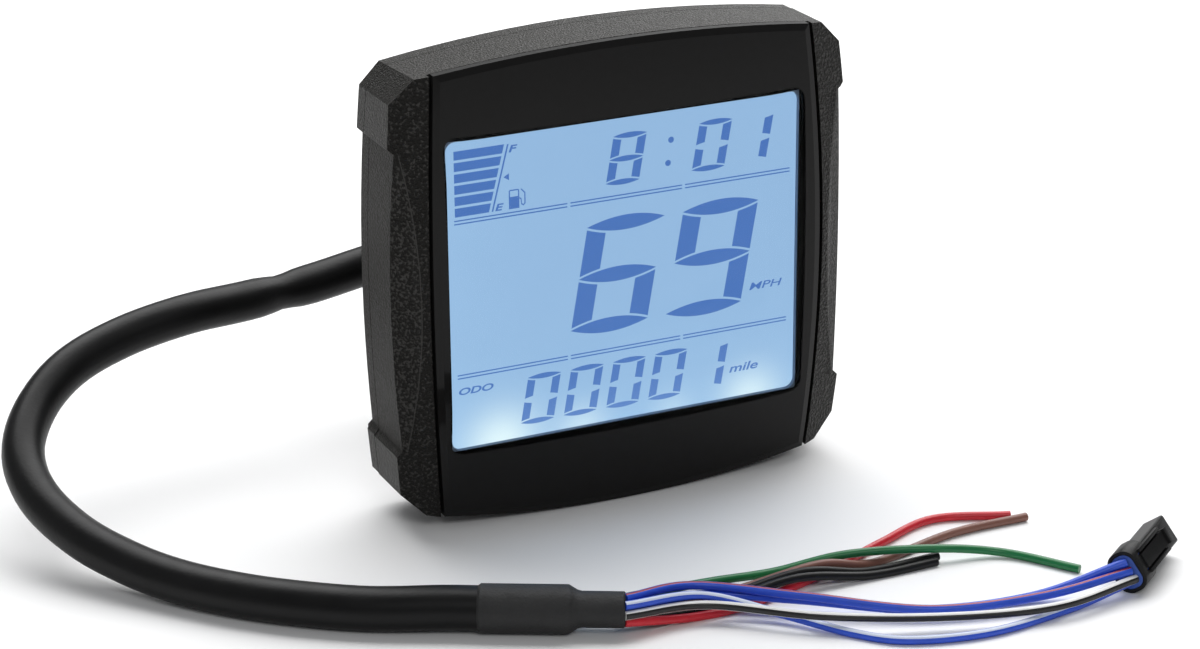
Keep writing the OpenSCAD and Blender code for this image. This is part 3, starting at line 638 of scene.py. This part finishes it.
def digit(character, left, middle, wide, half, bar, leaf, gap):
    """Outlines of one slanted digit with leaf-shaped bars across and straight uprights."""

    def leaf_edge(along):
        return leaf * (1 - (2 * along / wide - 1) ** 2)

    def place(along, z):
        return (left + along + SLANT * (z - middle), z)

    outlines = []
    for name, height in (("a", half), ("g", 0), ("d", -half)):
        if name in SEGMENTS[character]:
            steps = [wide * k / 24 for k in range(25)]
            over = [place(s, middle + height + leaf_edge(s)) for s in steps]
            under = [place(s, middle + height - leaf_edge(s)) for s in steps[1:-1]]
            outlines.append(over + under[::-1])
    for name, low, high, start in (("f", 0, half, 0.1), ("e", -half, 0, 0.1),
                                   ("b", 0, half, wide - bar), ("c", -half, 0, wide - bar)):
        if name in SEGMENTS[character]:
            steps = [start + (bar - 0.1) * k / 8 for k in range(9)]
            top = [place(s, middle + high - leaf_edge(s) - gap) for s in steps]
            foot = [place(s, middle + low + leaf_edge(s) + gap) for s in steps]
            outlines.append(top + foot[::-1])
    return outlines


# Speed, in the largest digits
SPEED_SHAPE = {"middle": -0.67, "wide": 16.6, "half": 10.27, "bar": 4.25, "leaf": 1.5,
               "gap": 0.44}
flat_marks("speed_digits", digit("6", -9.83, **SPEED_SHAPE) + digit("9", 10.66, **SPEED_SHAPE))

# Clock, with its colon of two round dots
CLOCK_SHAPE = {"middle": 22.45, "wide": 7.24, "half": 4.6, "bar": 1.9, "leaf": 0.56,
               "gap": 0.32}
COLON_DOT = 0.62
colon = []
for dot_x, dot_z in ((9.97, 24.74), (9.32, 20.14)):
    colon.append([(dot_x + COLON_DOT * math.cos(math.radians(15 * k)),
                   dot_z + COLON_DOT * math.sin(math.radians(15 * k))) for k in range(24)])
flat_marks("clock_digits", digit("8", -3.18, **CLOCK_SHAPE) + digit("0", 15.17, **CLOCK_SHAPE)
           + digit("1", 24.26, **CLOCK_SHAPE) + colon)

# Odometer
ODO_SHAPE = {"middle": -23.65, "wide": 7.16, "half": 4.58, "bar": 1.75, "leaf": 0.54,
             "gap": 0.32}
ODO_LEFT = -21.7
ODO_PITCH = 9.12
odometer = []
for place_number, character in enumerate("00001"):
    odometer += digit(character, ODO_LEFT + ODO_PITCH * place_number, **ODO_SHAPE)
flat_marks("odometer_digits", odometer)

# Fuel gauge: six bars cut off on one slant, the line beside them, a pump and its arrow
BAR_LEFT = -35.22
BAR_TOP = 28.92
BAR_PITCH = 2.245
BAR_HEIGHT = 1.74


def bar_end(z):
    """How far right a bar reaches at a height: all end on one slanted line."""
    return -24.93 - 0.258 * (28.9 - z)


gauge = []
for bar_number in range(6):
    bar_top = BAR_TOP - BAR_PITCH * bar_number
    bar_foot = bar_top - BAR_HEIGHT
    gauge.append([(BAR_LEFT, bar_top), (bar_end(bar_top), bar_top),
                  (bar_end(bar_foot), bar_foot), (BAR_LEFT, bar_foot)])
gauge.append([(-24.33, 28.83), (-23.99, 28.83), (-27.39, 15.95), (-27.73, 15.95)])
gauge.append([(-25.18, 22.42), (-24.04, 23.08), (-24.04, 21.7)])
flat_marks("fuel_bars", gauge)

flat_marks("fuel_pump", [
    [(-24.25, 15.9), (-22.0, 15.9), (-22.0, 19.5), (-22.2, 19.72), (-23.95, 19.72),
     (-24.15, 19.5), (-24.15, 16.1)],
    [(-23.9, 18.3), (-22.25, 18.3), (-22.25, 19.47), (-23.9, 19.47)]])
flat_marks("fuel_hose", [
    [(-21.98, 18.05), (-21.55, 17.75), (-21.45, 16.75), (-21.15, 16.5), (-20.95, 16.8),
     (-20.95, 18.7), (-21.7, 19.55), (-21.55, 19.72), (-20.72, 18.82), (-20.7, 16.7),
     (-21.1, 16.22), (-21.6, 16.5), (-21.75, 17.6), (-21.98, 17.75)]])

# Double rules above and below the speed, each in three lengths
RULE = 0.26
RULE_STEP = 0.66
rules = []
for rule_z, ends in ((15.2, (-35.4, -12.04, -11.4, 12.35, 12.98, 35.9)),
                     (-16.02, (-35.45, -12.3, -11.65, 12.0, 12.65, 35.6))):
    for start, stop in zip(ends[0::2], ends[1::2]):
        for middle_z in (rule_z, rule_z - RULE_STEP):
            low_z = middle_z - RULE / 2
            high_z = middle_z + RULE / 2
            rules.append([(start, low_z), (stop, low_z), (stop, high_z), (start, high_z)])
flat_marks("double_rules", rules)


def flat_word(name, word, left, foot, size, stretch, weight=0.0):
    """A slanted word, such as a unit, set from its left foot."""
    bpy.ops.object.select_all(action="DESELECT")
    bpy.ops.object.text_add()
    lettering = bpy.context.object
    lettering.data.body = word
    lettering.data.size = size
    lettering.data.shear = 0.24
    lettering.data.offset = weight
    lettering.matrix_world = Matrix.Translation((left, foot, 0)) @ Matrix.Diagonal(
        (stretch, 1, 1, 1))
    bpy.context.view_layer.update()
    return flat_piece(name, lettering)


flat_word("letter_full", "F", -24.15, 27.2, 1.9, 1.6, 0.06)
flat_word("letter_empty", "E", -27.1, 16.0, 1.9, 1.5, 0.06)
flat_word("unit_speed", "MPH", 27.0, -9.0, 2.15, 1.66, 0.02)
flat_word("unit_distance", "mile", 22.75, -25.8, 2.45, 1.55, 0.045)
flat_word("word_odo", "ODO", -35.55, -20.05, 1.9, 1.6, 0.05)

# The rest of the stack, out of sight behind the face
display_glass = Finish("display_glass", Roughness=0.03, IOR=1.52, Transmission_Weight=1.0)
display_glass.drive("Base Color", display_glass.blend(
    display_glass.noise(0.01, 2), (0.9, 0.96, 0.98, 1), (0.96, 0.99, 1, 1)))
film_finish = Finish("polariser_film", Roughness=0.25)
film_finish.drive("Base Color", film_finish.blend(
    film_finish.noise(0.01, 2), (0.3, 0.34, 0.38, 1), (0.36, 0.4, 0.43, 1)))
diffuser_finish = Finish("diffuser", Roughness=0.8)
diffuser_finish.drive("Base Color", diffuser_finish.blend(
    diffuser_finish.noise(0.004, 2), (0.86, 0.9, 0.94, 1), (0.92, 0.95, 0.97, 1)))
guide_finish = Finish("lit_acrylic", Roughness=0.12)
guide_finish.drive("Base Color", guide_finish.blend(
    guide_finish.noise(0.002, 3), (0.5, 0.68, 0.85, 1), (0.6, 0.76, 0.9, 1)))
moulded_white = Finish("white_plastic")
white_clouds = moulded_white.noise(0.003, 3)
moulded_white.drive("Base Color", moulded_white.blend(
    white_clouds, (0.8, 0.8, 0.77, 1), (0.88, 0.88, 0.86, 1)))
moulded_white.drive("Roughness", white_clouds * 0.1 + 0.42)
moulded_white.relief(moulded_white.noise(0.0003, 2), 0.00003)
paint("lcd_front_glass", display_glass)
paint("lcd_rear_glass", display_glass)
paint("lcd_rear_polariser", film_finish)
paint("diffuser_sheet", diffuser_finish)
paint("light_guide", guide_finish)
for white_piece in ("reflector_sheet", "backlight_leds", "lcd_frame", "wire_header"):
    paint(white_piece, moulded_white)

# ---- Circuit board ----------------------------------------------------------------
# Green fibreglass laminate with its chips, crystal, capacitors, switches and header. Pink
# conductive rubber strips carry the signals up to the display.
board_finish = Finish("board_laminate", Roughness=0.28)
board_weave = board_finish.node("ShaderNodeTexWave", inputs={
    "Vector": board_finish.place(), "Scale": 900, "Distortion": 1.5})
board_finish.drive("Base Color", board_finish.blend(
    board_weave, (0.018, 0.11, 0.045, 1), (0.03, 0.17, 0.07, 1)))
board_finish.relief(board_weave, 0.00002)
paint("circuit_board", board_finish)

chip_finish = Finish("chip_plastic", Roughness=0.55)
chip_grain = chip_finish.noise(0.00025, 2)
chip_finish.drive("Base Color", chip_finish.blend(
    chip_grain, (0.02, 0.02, 0.022, 1), (0.036, 0.036, 0.04, 1)))
chip_finish.relief(chip_grain, 0.00003)
for chip_piece in ("microcontroller", "voltage_regulator", "switch_bodies"):
    paint(chip_piece, chip_finish)

can_finish = Finish("can_metal", Metallic=1.0)
can_brushing = can_finish.noise(0.0005, 4)
can_finish.drive("Base Color", can_finish.blend(
    can_brushing, (0.66, 0.67, 0.69, 1), (0.78, 0.79, 0.81, 1)))
can_finish.drive("Roughness", can_brushing * 0.2 + 0.25)
paint("quartz_crystal", can_finish)
paint("capacitors", can_finish)

strip_finish = Finish("zebra_rubber", Roughness=0.6)
strip_bands = strip_finish.node("ShaderNodeTexWave", inputs={
    "Vector": strip_finish.place(), "Scale": 1600})
strip_finish.drive("Base Color", strip_finish.blend(
    strip_bands, (0.04, 0.03, 0.035, 1), (0.75, 0.52, 0.58, 1)))
paint("contact_strips", strip_finish)

lead_finish = soft_pvc("lead_pvc", (0.18, 0.18, 0.2), 0.4)
paint("inner_leads", lead_finish)

# ---- Floor and light --------------------------------------------------------------
# A plain pale table under even studio light: a large soft box overhead and a little
# behind, a low one at the back right for the sheen on the top, and weak ones to the left
# and in front.
FLOOR_Z = -0.04728
bpy.ops.object.select_all(action="DESELECT")
bpy.ops.mesh.primitive_plane_add(size=8, location=(0, 0, FLOOR_Z))
floor = bpy.context.object
floor.name = "floor"
floor_finish = Finish("floor_paper", Roughness=0.9, Specular_IOR_Level=0.1)
floor_finish.drive("Base Color", floor_finish.blend(
    floor_finish.noise(0.3, 2), (0.95, 0.95, 0.95, 1), (0.97, 0.97, 0.97, 1)))
floor.data.materials.append(floor_finish.material)


def soft_box(name, place, aim, width, height, power):
    """A rectangular lamp that faces a point."""
    lamp_data = bpy.data.lights.new(name, "AREA")
    lamp_data.shape = "RECTANGLE"
    lamp_data.size = width
    lamp_data.size_y = height
    lamp_data.energy = power
    lamp = bpy.data.objects.new(name, lamp_data)
    lamp.location = place
    lamp.rotation_mode = "QUATERNION"
    lamp.rotation_quaternion = (Vector(aim) - Vector(place)).to_track_quat("-Z", "Y")
    bpy.context.scene.collection.objects.link(lamp)


soft_box("overhead_box", (0.25, 0.55, 0.95), (0, 0.15, 0), 1.6, 1.0, 21)
soft_box("rear_box", (0.95, 1.1, 0.5), (0, 0, 0), 0.8, 0.45, 4)
soft_box("left_box", (-1.1, 0.2, 0.5), (0, 0, 0), 0.8, 0.8, 0.7)
soft_box("front_box", (-0.2, -1.1, 0.9), (0, 0, 0), 0.6, 0.4, 3.5)

world = bpy.data.worlds.new("studio")
world.use_nodes = True
world.node_tree.nodes["Background"].inputs["Color"].default_value = (0.9, 0.92, 0.95, 1)
world.node_tree.nodes["Background"].inputs["Strength"].default_value = 0.2
bpy.context.scene.world = world
bpy.context.scene.view_settings.view_transform = "Standard"
